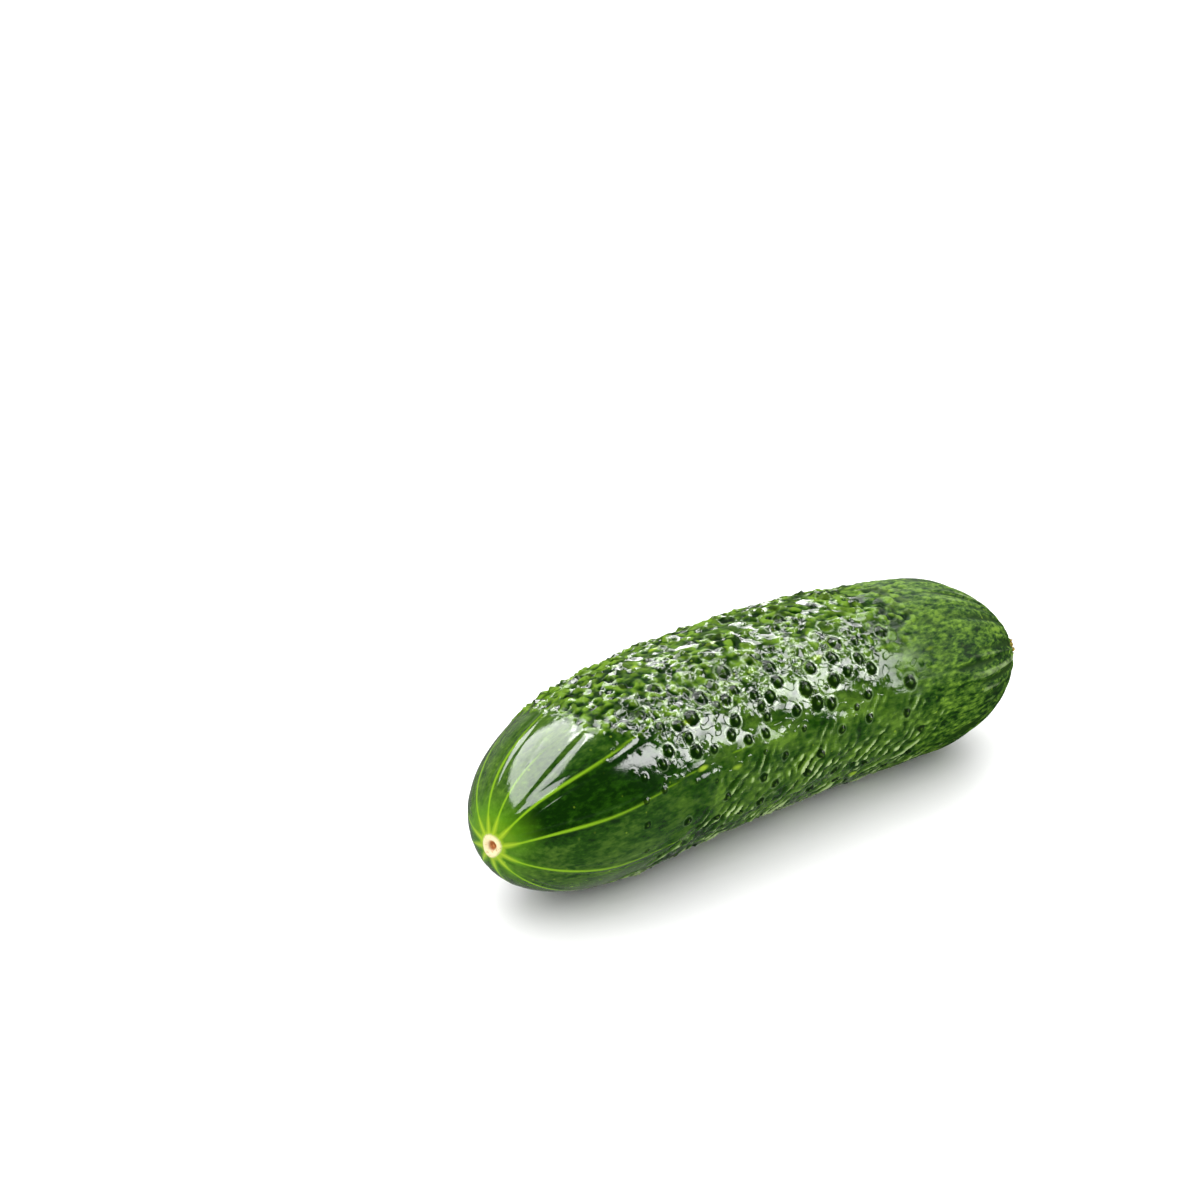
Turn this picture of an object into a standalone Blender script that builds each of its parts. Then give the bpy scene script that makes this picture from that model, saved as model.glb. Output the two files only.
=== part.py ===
# A short, warty slicing cucumber lying on its side, as picked. Metres, +Z up.
# It runs along X: the blossom end points to -X and the stem end to +X. Both ends curve towards -Y.
# The origin is on the surface it rests on, under the middle of its bounding box.
import math
import random

import bpy
import bmesh
from mathutils import Vector

# Driving dimensions
LENGTH = 0.140            # from the blossom scar to the stalk scar, in a straight line
WIDEST_RADIUS = 0.0209    # of the skin at mid length, without the warts
BOW = 0.0084              # how far the middle stands off the line between the two ends
TAPER = -0.044            # share of the radius gained from the blossom end to the stem end
BELLY = 0.14              # share of the radius lost from mid length to the ends, before they close
DROOP = 0.70              # share of that loss by which the centre line comes down with the skin
BLOSSOM_NOSE = 0.32       # share of the length over which the blossom end closes
BLOSSOM_BLUNTNESS = 3.2   # exponent of that closing curve: 2 is an ellipse, more is blunter
STEM_NOSE = 0.20
STEM_BLUNTNESS = 2.35
LOBE_HEIGHT = 0.018       # the three seed lobes swell the round section by this share
LOBE_TURN = math.radians(34)
RESTING_DEPTH = 0.00045   # how much of the belly is flattened where the fruit lies

# Blossom scar and stalk scar: distance from the axis and height over the nose, from the rim inwards
BLOSSOM_SCAR = [(0.0029, 0.0), (0.0024, 0.00035), (0.0017, 0.00030), (0.0010, -0.00030)]
BLOSSOM_PIT_DEPTH = -0.0005
STALK_SCAR = [(0.0030, 0.0), (0.0026, 0.0007), (0.0015, 0.0011)]
STALK_TIP_HEIGHT = 0.0009

# Warts
WART_COUNT = 180
WART_SIZES = [(0.0003, 0.0010), (0.0005, 0.0009), (0.0006, 0.0007)]   # height, width of the slope
WART_SPACING = 0.0040     # least distance between two warts' centres
WARTY_FROM = 0.17         # the smooth blossom end stops here, as a share of the length
WARTY_TO = 0.90
WART_SEED = 7

# Mesh density
SIDES = 40
RINGS = 40

SKIN_COLOUR = (0.045, 0.155, 0.018, 1.0)
SKIN_ROUGHNESS = 0.32


def clear_scene():
    for old in list(bpy.data.objects):
        bpy.data.objects.remove(old, do_unlink=True)


def closing(share, nose, bluntness):
    # How much of the radius is left at this share of the length from the tip of a nose
    if share >= nose:
        return 1.0
    depth = (nose - share) / nose
    return math.sqrt(max(0.0, 1.0 - depth ** bluntness))


def body_radius(t):
    # The radius of the barrel, as if it had no noses
    off_middle = 2.0 * t - 1.0
    return WIDEST_RADIUS * (1.0 + TAPER * (t - 0.5) - BELLY * off_middle ** 2)


def skin_radius(t):
    at_blossom = closing(t, BLOSSOM_NOSE, BLOSSOM_BLUNTNESS)
    at_stem = closing(1.0 - t, STEM_NOSE, STEM_BLUNTNESS)
    return body_radius(t) * at_blossom * at_stem


def centre(t):
    off_middle = 2.0 * t - 1.0
    x = LENGTH * (t - 0.5)
    y = -BOW * off_middle ** 2
    z = WIDEST_RADIUS + DROOP * (body_radius(t) - WIDEST_RADIUS)
    return Vector((x, y, z))


def side_direction(t):
    # The level direction square to the centre line at t
    slope = -4.0 * BOW * (2.0 * t - 1.0) / LENGTH
    return Vector((-slope, 1.0, 0.0)).normalized()


def ring_points(t, radius, lift=0.0):
    # The rounded-triangular section at t, moved out along the centre line by lift
    sideways = side_direction(t)
    upwards = Vector((0.0, 0.0, 1.0))
    outwards = sideways.cross(upwards)
    if t < 0.5:
        outwards = -outwards
    points = []
    for step in range(SIDES):
        angle = 2.0 * math.pi * step / SIDES
        reach = radius * (1.0 + LOBE_HEIGHT * math.cos(3.0 * (angle - LOBE_TURN)))
        offset = sideways * math.cos(angle) + upwards * math.sin(angle)
        points.append(centre(t) + offset * reach + outwards * lift)
    return points


def share_at_radius(radius, low, high):
    # The share of the length, between low and high, where the skin has this radius
    rising = skin_radius(high) > skin_radius(low)
    for _ in range(50):
        middle = 0.5 * (low + high)
        if (skin_radius(middle) < radius) == rising:
            low = middle
        else:
            high = middle
    return 0.5 * (low + high)


def body_rings():
    # Rings closer together towards the noses, between the rims of the two scars
    first = share_at_radius(BLOSSOM_SCAR[0][0], 0.0, BLOSSOM_NOSE)
    last = share_at_radius(STALK_SCAR[0][0], 1.0 - STEM_NOSE, 1.0)
    rings = []
    for step in range(RINGS + 1):
        even = step / RINGS
        eased = 0.5 - 0.5 * math.cos(math.pi * even)
        t = first + (last - first) * (0.35 * even + 0.65 * eased)
        rings.append(ring_points(t, skin_radius(t)))
    return rings, first, last


def scar_rings(profile, t):
    return [ring_points(t, radius, lift) for radius, lift in profile[1:]]


def bridge(mesh, lower, upper):
    # One band of faces between two rings of vertices; returns the faces
    band = []
    for step in range(SIDES):
        after = (step + 1) % SIDES
        band.append(mesh.faces.new((lower[step], lower[after], upper[after], upper[step])))
    return band


def close_pole(mesh, ring, tip, faces_back):
    for step in range(SIDES):
        after = (step + 1) % SIDES
        corners = (ring[after], ring[step], tip) if faces_back else (ring[step], ring[after], tip)
        mesh.faces.new(corners)


def pole_point(t, lift):
    points = ring_points(t, 0.0, lift)
    return points[0]


def flatten_resting_strip(mesh):
    # Lowers the fruit into the surface by RESTING_DEPTH and flattens what would be under it
    for vertex in mesh.verts:
        vertex.co.z = max(0.0, vertex.co.z - RESTING_DEPTH)


def wart_faces(bands):
    # Faces of the warty stretch, picked at random but never too near one another or the floor
    chooser = random.Random(WART_SEED)
    candidates = [face for band in bands for face in band]
    chooser.shuffle(candidates)
    chosen = []
    spots = []
    for face in candidates:
        spot = face.calc_center_median()
        share = spot.x / LENGTH + 0.5
        if len(chosen) == WART_COUNT:
            break
        if not WARTY_FROM < share < WARTY_TO:
            continue
        if min(vertex.co.z for vertex in face.verts) < WART_SPACING / 2:
            continue
        if any((spot - other).length < WART_SPACING for other in spots):
            continue
        chosen.append(face)
        spots.append(spot)
    return chosen


def raise_warts(mesh, faces):
    # Each wart is one face of the skin, inset and lifted; the sizes take turns
    for turn, (height, slope_width) in enumerate(WART_SIZES):
        group = faces[turn::len(WART_SIZES)]
        bmesh.ops.inset_individual(
            mesh, faces=group, thickness=slope_width, depth=height, use_even_offset=True)


def build_skin(mesh):
    rings, first, last = body_rings()
    blossom = scar_rings(BLOSSOM_SCAR, first)
    stalk = scar_rings(STALK_SCAR, last)
    ordered = list(reversed(blossom)) + rings + stalk
    loops = [[mesh.verts.new(point) for point in ring] for ring in ordered]
    bands = [bridge(mesh, loops[i + 1], loops[i]) for i in range(len(loops) - 1)]
    close_pole(mesh, loops[0], mesh.verts.new(pole_point(first, BLOSSOM_PIT_DEPTH)), False)
    close_pole(mesh, loops[-1], mesh.verts.new(pole_point(last, STALK_TIP_HEIGHT)), True)
    bmesh.ops.recalc_face_normals(mesh, faces=mesh.faces)
    flatten_resting_strip(mesh)
    return bands


def put_origin_under_middle(mesh):
    # Moves the fruit so that the origin is under the middle of its bounding box
    xs = [vertex.co.x for vertex in mesh.verts]
    ys = [vertex.co.y for vertex in mesh.verts]
    shift = Vector((-(min(xs) + max(xs)) / 2, -(min(ys) + max(ys)) / 2, 0.0))
    bmesh.ops.translate(mesh, vec=shift, verts=mesh.verts)


def skin_material():
    material = bpy.data.materials.new("cucumber_skin")
    material.use_nodes = True
    shader = material.node_tree.nodes["Principled BSDF"]
    shader.inputs["Base Color"].default_value = SKIN_COLOUR
    shader.inputs["Roughness"].default_value = SKIN_ROUGHNESS
    shader.inputs["Metallic"].default_value = 0.0
    return material


def make_cucumber():
    mesh = bmesh.new()
    bands = build_skin(mesh)
    raise_warts(mesh, wart_faces(bands))
    put_origin_under_middle(mesh)
    data = bpy.data.meshes.new("cucumber")
    mesh.to_mesh(data)
    mesh.free()
    data.shade_smooth()
    data.materials.append(skin_material())
    cucumber = bpy.data.objects.new("cucumber", data)
    bpy.context.scene.collection.objects.link(cucumber)
    return cucumber


def main():
    clear_scene()
    make_cucumber()


main()
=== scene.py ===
import math

import bpy
import numpy as np
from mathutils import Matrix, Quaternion, Vector


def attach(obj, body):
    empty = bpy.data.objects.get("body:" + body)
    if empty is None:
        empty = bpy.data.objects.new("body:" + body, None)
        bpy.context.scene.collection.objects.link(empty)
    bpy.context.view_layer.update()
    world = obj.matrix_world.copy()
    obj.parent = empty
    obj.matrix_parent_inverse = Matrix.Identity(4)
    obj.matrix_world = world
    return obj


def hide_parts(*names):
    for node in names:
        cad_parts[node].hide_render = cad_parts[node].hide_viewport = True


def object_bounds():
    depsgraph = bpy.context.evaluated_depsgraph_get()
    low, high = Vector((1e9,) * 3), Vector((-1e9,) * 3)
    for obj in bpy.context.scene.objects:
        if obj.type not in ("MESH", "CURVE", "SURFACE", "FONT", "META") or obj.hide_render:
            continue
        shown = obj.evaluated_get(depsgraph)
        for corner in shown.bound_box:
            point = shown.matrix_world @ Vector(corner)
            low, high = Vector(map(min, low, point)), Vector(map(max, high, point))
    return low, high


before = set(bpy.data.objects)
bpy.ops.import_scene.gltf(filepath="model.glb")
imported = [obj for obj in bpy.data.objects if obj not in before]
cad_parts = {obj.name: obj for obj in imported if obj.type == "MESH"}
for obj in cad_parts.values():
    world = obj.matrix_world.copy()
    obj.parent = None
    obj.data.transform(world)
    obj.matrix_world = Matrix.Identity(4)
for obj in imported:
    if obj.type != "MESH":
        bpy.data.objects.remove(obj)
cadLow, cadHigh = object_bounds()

print("frame loaded, box", [round(v, 4) for v in (cadHigh - cadLow)])

mm = 0.001

# The fruit's form, in metres. Shares are of its length or of its widest radius; angles, in degrees, go round
# from the +Y side over the top.
fruit = dict(
    length=0.140,             # between the two scars
    widestRadius=0.02090,
    bow=0.0084,               # how far mid length stands off the line between the ends
    taper=-0.044,             # radius gained towards the stem end
    belly=0.14,               # radius lost from mid length to the ends
    droop=0.70,               # how much of that loss the centre line follows down
    blossomNose=0.32,         # share of the length over which this end closes
    blossomBluntness=3.2,     # 2 is an ellipse, more is blunter
    stemNose=0.20,
    stemBluntness=2.35,
    lobeHeight=0.018,         # three seed lobes
    lobeTurn=34.0,
    restingDepth=0.00035,     # how much of the belly is flattened on the floor
    stalkOffset=-0.00057,     # the stalk scar reaches out, so the rest lies this much nearer the other end
    around=288,               # grid points round the fruit
    along=344,                # rings from scar to scar
    noseDensity=1.3,          # how much closer the rings stand at the ends
    noseReach=0.009,
)

# Pale stripes run from the blossom scar, each with its angle and how far along the fruit it reaches
stripes = dict(
    angles=[12, 44, 71, 96, 128, 163, 205, 238, 272, 306, 340],
    reaches=[0.25, 0.28, 0.27, 0.12, 0.40, 0.36, 0.40, 0.22, 0.30, 0.26, 0.31],
    width=0.00033,            # half width
    ridge=0.00005,            # the stripe stands proud by this
    groove=0.00010,           # and a furrow runs on each side
    grooveAside=0.0013,
    shallow=96,               # this one has almost no furrows
    glowWidth=0.0012,         # a lime glow hugs each stripe near the scar
    glowReach=(0.003, 0.013),
    halo=(0.0048, 0.0110),    # and a wider one the scar, between these distances from the fruit's axis
    haloShare=0.70,
    haloCore=(0.0024, 0.0048),
    wander=0.03,
    brokenReach=0.30,         # broken pieces of a stripe go on for this share of the length
    brokenShare=0.55,
    shallowShare=0.15,
)

warts = dict(
    seed=11,
    bigThrows=2400,
    bigRadius=(0.00080, 0.00175),
    bigHeight=(0.00034, 0.00074),
    smallThrows=2600,
    smallRadius=(0.00042, 0.00072),
    smallHeight=(0.00012, 0.00028),
    spacing=1.06,             # least gap between two, as a share of their radii together
    beltAngle=138.0,          # a belt of larger warts, darker by painted shade
    beltWidth=20.0,
    beltGrowth=0.22,
    flankBelow=0.35,          # sine of the angle under which the skin counts as the lower flank
    flankShrink=0.72,         # the lower flank's warts are this much smaller
    flankSpacing=0.0044,      # and stand at least this far apart
    start=0.190,              # the blossom end is smooth up to here
    early=0.045,              # but small warts start this much before
    end=0.71,
    softStart=0.04,
    softEnd=0.05,
    sparseFlank=0.90,         # share of the warts that the lower flank has
    reachShare=1.9,           # a wart's moat reaches this many of its radii
    moat=0.14,                # depth of the shallow ring round a wart, as a share of its height
)

wrinkles = dict(
    seed=5,
    barrelStart=0.138,        # share of the length where the rough barrel starts on top,
    barrelLag=0.065,          # and how much further on it starts at the near side
    barrelSoft=0.035,
    barrelEnd=(0.74, 0.86),
    crumpleHeight=0.00024,    # short creases of the upper side
    ridgeHeight=0.00040,      # slanting ridges of the lower flank
    ridgeWaves=(0.0022, 0.0029),
    ridgeSlants=(32.0, 50.0),  # directions across the ridges, from the fruit's axis
    ridgeStart=0.24,          # where they start on the flank, and how much sooner they do low down
    ridgeLead=0.12,
    crossing=0.42,            # share of short folds that cross the ridges
    swellHeight=0.00016,      # long low swells
    rippleHeight=0.00008,     # and shorter ones, which break up a reflection's edge
    streakHeight=0.00003,
)


def smoothStep(low, high, value):
    # 0 at low, 1 at high, an S curve between
    share = np.clip((value - low) / (high - low), 0.0, 1.0)
    return share * share * (3.0 - 2.0 * share)


def barrelRadius(t):
    # widest radius times (1 + taper, less a parabola towards both ends)
    offMiddle = 2.0 * t - 1.0
    return fruit["widestRadius"] * (1.0 + fruit["taper"] * (t - 0.5) - fruit["belly"] * offMiddle ** 2)


def closing(share, nose, bluntness):
    # square root of 1 - depth to the power bluntness, where depth runs from 0 to 1 over the nose
    depth = np.clip((nose - share) / nose, 0.0, 1.0)
    return np.sqrt(np.maximum(0.0, 1.0 - depth ** bluntness))


def skinRadius(t):
    atBlossom = closing(t, fruit["blossomNose"], fruit["blossomBluntness"])
    atStem = closing(1.0 - t, fruit["stemNose"], fruit["stemBluntness"])
    return barrelRadius(t) * atBlossom * atStem


def centreLine(t):
    # a level parabola along X, bowed to +Y at mid length, sinking with the barrel's radius
    offMiddle = 2.0 * t - 1.0
    x = fruit["length"] * (t - 0.5)
    y = -fruit["bow"] * offMiddle ** 2
    z = fruit["widestRadius"] + fruit["droop"] * (barrelRadius(t) - fruit["widestRadius"])
    return np.stack([x, y, z], axis=-1)


def sideways(t):
    # level unit vectors square to the centre line
    slope = -4.0 * fruit["bow"] * (2.0 * t - 1.0) / fruit["length"]
    across = np.stack([-slope, np.ones_like(t), np.zeros_like(t)], axis=-1)
    return across / np.linalg.norm(across, axis=-1, keepdims=True)


def ringStations():
    # stations along the profile, evenly spaced by arc length, but closer near both ends
    t = 0.5 - 0.5 * np.cos(np.linspace(0.0, math.pi, 6000))
    step = np.hypot(np.diff(t) * fruit["length"], np.diff(skinRadius(t)))
    arc = np.concatenate([[0.0], np.cumsum(step)])
    nearEnd = np.minimum(arc, arc[-1] - arc)
    density = 1.0 + fruit["noseDensity"] * np.exp(-(nearEnd / fruit["noseReach"]) ** 2)
    weight = np.concatenate([[0.0], np.cumsum(step * 0.5 * (density[1:] + density[:-1]))])
    wanted = np.linspace(0.0, weight[-1], fruit["along"] + 2)[1:-1]
    return np.interp(wanted, weight, t), np.interp(wanted, weight, arc), arc[-1]


station, arcPlace, arcLength = ringStations()
# angles round the fruit; the seam is underneath
turn = np.linspace(0.0, 2.0 * math.pi, fruit["around"], endpoint=False) - math.pi / 2
radiusAt = skinRadius(station)
tGrid, aGrid = np.meshgrid(station, turn, indexing="ij")
arcGrid = np.repeat(arcPlace[:, None], fruit["around"], axis=1)
roundGrid = np.repeat(radiusAt[:, None], fruit["around"], axis=1)


def bareSkin(t, a):
    # a rounded-triangular section, radius times (1 + lobe height times the cosine of three times the angle),
    # carried along the centre line
    reach = skinRadius(t) * (1.0 + fruit["lobeHeight"] * np.cos(3.0 * (a - math.radians(fruit["lobeTurn"]))))
    across = sideways(t) * (reach * np.cos(a))[..., None]
    upwards = np.zeros_like(across)
    upwards[..., 2] = reach * np.sin(a)
    return centreLine(t) + across + upwards


def outwardOf(points):
    # unit normals: the cross product of the steps round and along the grid
    roundStep = np.roll(points, -1, axis=1) - np.roll(points, 1, axis=1)
    alongStep = np.gradient(points, axis=0)
    normal = np.cross(roundStep, alongStep)
    return normal / np.maximum(np.linalg.norm(normal, axis=-1, keepdims=True), 1e-12)


def gridWaves():
    # waves per metre along the fruit and round it, for a Fourier transform of the grid
    stepAlong = arcLength / fruit["along"]
    stepAround = 2.0 * math.pi * fruit["widestRadius"] / fruit["around"]
    alongWave = np.fft.fftfreq(fruit["along"], stepAlong)[:, None]
    aroundWave = np.fft.fftfreq(fruit["around"], stepAround)[None, :]
    return alongWave, aroundWave


def bandNoise(seed, sizeAlong, sizeAround, turnDegrees=0.0, spread=0.5):
    # white noise kept only where its waves have about these sizes: its Fourier transform is
    # multiplied by a ring-shaped bump, stretched and turned, and the result scaled to unit spread
    chance = np.random.default_rng(seed)
    white = chance.standard_normal((fruit["along"], fruit["around"]))
    alongWave, aroundWave = gridWaves()
    lean = math.radians(turnDegrees)
    first = alongWave * math.cos(lean) + aroundWave * math.sin(lean)
    second = aroundWave * math.cos(lean) - alongWave * math.sin(lean)
    ring = np.hypot(first * sizeAlong, second * sizeAround)
    kept = np.fft.ifft2(np.fft.fft2(white) * np.exp(-((ring - 1.0) / spread) ** 2)).real
    return kept / kept.std()


def waveNoise(seed, wave, length, turnDegrees):
    # white noise whose Fourier transform keeps only two spots, so its waves all run across one direction:
    # wave apart, and about length long
    chance = np.random.default_rng(seed)
    white = chance.standard_normal((fruit["along"], fruit["around"]))
    alongWave, aroundWave = gridWaves()
    lean = math.radians(turnDegrees)
    across = np.abs(alongWave * math.cos(lean) + aroundWave * math.sin(lean))
    down = aroundWave * math.cos(lean) - alongWave * math.sin(lean)
    keep = np.exp(-((across * wave - 1.0) / 0.30) ** 2 - (down * length) ** 2)
    kept = np.fft.ifft2(np.fft.fft2(white) * keep).real
    return kept / kept.std()


def angleGap(a, b):
    # signed difference of two angles, within half a turn
    return (a - b + math.pi) % (2.0 * math.pi) - math.pi


# Lone furrows in the smooth skin of the blossom end: place as share of the length and angle, half length,
# half width and depth
slits = [
    ((0.088, 113.5), 0.0072, 0.00055, 0.00036),
    ((0.068, 93.5), 0.0014, 0.00030, 0.00018),
    ((0.098, 91.5), 0.0018, 0.00028, 0.00016),
    ((0.091, 99.0), 0.0005, 0.00035, 0.00014),
]
slitSlant = 1.05              # radians that a furrow turns back per length of the fruit


def stripeField():
    # for each stripe, a bell across its width that fades along its reach; returns paleness, glow and relief
    pale = np.zeros_like(tGrid)
    nearTip = np.where(tGrid < 0.5, roundGrid, 1.0)
    upper = 0.35 + 0.65 * smoothStep(-0.3, 0.5, np.sin(aGrid))
    glow = stripes["haloShare"] * upper * (1.0 - smoothStep(*stripes["halo"], nearTip))
    glow = np.maximum(glow, 1.0 - smoothStep(*stripes["haloCore"], nearTip))
    relief = np.zeros_like(tGrid)
    nearScar = 1.0 - smoothStep(*stripes["glowReach"], arcGrid)
    drift = stripes["wander"] * bandNoise(31, 40 * mm, 200 * mm, spread=0.4)
    breaks = bandNoise(32, 9 * mm, 30 * mm)
    for angle, reach in zip(stripes["angles"], stripes["reaches"]):
        aside = angleGap(aGrid + drift, math.radians(angle)) * roundGrid
        swelling = 0.60 + 0.55 * smoothStep(0.0, 0.08, tGrid) - 0.35 * smoothStep(0.12, 0.30, tGrid)
        width = stripes["width"] * swelling
        fade = 1.0 - 0.45 * smoothStep(0.0, 0.6 * reach, tGrid)
        fade = fade * (1.0 - smoothStep(0.55 * reach, reach, tGrid))
        fading = 1.0 - smoothStep(reach, reach + stripes["brokenReach"], tGrid)
        broken = smoothStep(0.2, 1.2, breaks) * fading * stripes["brokenShare"]
        strength = np.maximum(fade, broken)
        pale = np.maximum(pale, strength * np.exp(-(aside / width) ** 2))
        glow = np.maximum(glow, nearScar * np.exp(-(aside / stripes["glowWidth"]) ** 2))
        presence = (1.0 - smoothStep(0.7 * reach, reach + 0.15, tGrid)) * smoothStep(0.0, 0.05, tGrid)
        presence = presence * (stripes["shallowShare"] if angle == stripes["shallow"] else 1.0)
        ridge = stripes["ridge"] * np.exp(-(aside / (1.3 * stripes["width"])) ** 2)
        beside = np.abs(aside) - stripes["grooveAside"]
        groove = stripes["groove"] * np.exp(-(beside / (0.9 * stripes["width"])) ** 2)
        relief += presence * (ridge - groove)
    for (t, angle), length, width, depth in slits:
        # a short furrow: a bell across and a blunter one along
        across = angleGap(aGrid, math.radians(angle) - slitSlant * (tGrid - t)) * roundGrid
        along = (tGrid - t) * fruit["length"]
        relief -= depth * np.exp(-(across / width) ** 2 - (along / length) ** 4)
    return pale, glow, relief


def scatterWarts():
    # darts thrown over the unrolled skin; one sticks if no earlier one is nearer than its spacing
    chance = np.random.default_rng(warts["seed"])
    spots = np.zeros((0, 5))
    for radii, heights, throws, early in (
            (warts["bigRadius"], warts["bigHeight"], warts["bigThrows"], 0.0),
            (warts["smallRadius"], warts["smallHeight"], warts["smallThrows"], warts["early"])):
        for _ in range(throws):
            arc = chance.uniform(0.0, arcLength)
            angle = chance.uniform(-math.pi, math.pi)
            size = chance.beta(1.4, 1.7)
            t = float(np.interp(arc, arcPlace, station))
            radius = float(np.interp(arc, arcPlace, radiusAt))
            likely = wartiness(t + early, angle)
            if chance.uniform() > likely or chance.uniform() > radius / fruit["widestRadius"]:
                continue
            low = math.sin(angle) < warts["flankBelow"]
            shrink = warts["flankShrink"] if low else 1.0
            growth = 1.0 + warts["beltGrowth"] * beltShare(angle)
            wartRadius = (radii[0] + (radii[1] - radii[0]) * size) * shrink * growth
            if len(spots):
                gap = np.hypot(spots[:, 0] - arc, angleGap(spots[:, 1], angle) * radius)
                least = warts["flankSpacing"] if low else 0.0
                if (gap < np.maximum(warts["spacing"] * (spots[:, 2] + wartRadius), least)).any():
                    continue
            height = heights[0] + (heights[1] - heights[0]) * size
            height = height * (0.65 + 0.35 * likely) * (0.85 if low else 1.0)
            # how dark the painted shade over this wart is: lighter at random on the top, full elsewhere
            darkness = chance.uniform(0.25, 1.0) if math.sin(angle + 0.2) > 0.72 else 1.0
            spots = np.vstack([spots, [arc, angle, wartRadius, height, darkness]])
    return spots


def wartiness(t, angle):
    # how likely a wart is at this place, from 0 to 1
    rising = min(1.0, max(0.0, (t - warts["start"] + warts["softStart"]) / (2 * warts["softStart"])))
    falling = min(1.0, max(0.0, (warts["end"] + warts["softEnd"] - t) / (2 * warts["softEnd"])))
    flank = 1.0 if math.sin(angle) > warts["flankBelow"] else warts["sparseFlank"]
    return rising * falling * flank * (0.60 + 0.40 * beltShare(angle))


def beltShare(angle):
    # a bell across the belt of large dark warts
    aside = math.degrees(angleGap(angle, math.radians(warts["beltAngle"])))
    return math.exp(-(aside / warts["beltWidth"]) ** 2)


def wartField(spots):
    # each wart is a raised cosine of its radius inside a shallow moat; for the skin's finish, each point
    # keeps its place in the nearest wart, in wart radii, and masks that are gone where two warts meet: the
    # wart's own, which carries the painted shade over it, and a painted highlight rim round it
    height = np.zeros_like(tGrid)
    place = np.zeros(tGrid.shape + (3,))
    nearest = np.full(tGrid.shape, 9.0)
    second = np.full(tGrid.shape, 9.0)
    mask = np.zeros_like(tGrid)
    rim = np.zeros_like(tGrid)
    ringGap = np.gradient(arcPlace)
    stepAngle = 2.0 * math.pi / fruit["around"]
    for arc, angle, wartRadius, wartHeight, darkness in spots:
        middle = min(max(int(np.searchsorted(arcPlace, arc)), 1), fruit["along"] - 2)
        reach = warts["reachShare"] * wartRadius
        rows = int(math.ceil(reach / ringGap[middle])) + 1
        columns = int(math.ceil(reach / (radiusAt[middle] * stepAngle))) + 1
        low, high = max(0, middle - rows), min(fruit["along"], middle + rows + 1)
        column = int(round(angleGap(angle, turn[0]) / stepAngle))
        cols = (np.arange(-columns, columns + 1) + column) % fruit["around"]
        aroundOff = angleGap(turn[cols][None, :], angle) * radiusAt[low:high, None] / wartRadius
        alongOff = np.broadcast_to((arcPlace[low:high, None] - arc) / wartRadius, aroundOff.shape)
        distance = np.hypot(alongOff, aroundOff)
        dome = np.where(distance < 1.0, 0.5 + 0.5 * np.cos(math.pi * np.minimum(distance, 1.0)), 0.0)
        moat = warts["moat"] * np.exp(-((distance - 1.18) / 0.30) ** 2)
        window = np.ix_(np.arange(low, high), cols)
        height[window] += wartHeight * (dome - moat)
        closer = distance < nearest[window]
        second[window] = np.where(closer, nearest[window], np.minimum(distance, second[window]))
        nearest[window] = np.where(closer, distance, nearest[window])
        size = min(1.0, wartHeight / warts["bigHeight"][1])
        mask[window] = np.where(closer, darkness * (1.0 - smoothStep(0.95, 1.30, distance)), mask[window])
        inside = np.stack([alongOff, aroundOff, np.full(distance.shape, size)], axis=-1)
        place[window] = np.where(closer[..., None], inside, place[window])
        # a pale painted highlight rim round the larger warts, strongest in the belt
        outer = 1.0 - smoothStep(1.50, 1.80, distance)
        paleRimHighlight = outer * smoothStep(0.35, 0.85, size) * (0.3 + 0.7 * beltShare(angle))
        rim[window] = np.where(closer, paleRimHighlight, rim[window])
    apart = smoothStep(0.05, 0.30, second - nearest)
    return height, place, mask * apart, rim * apart


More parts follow.
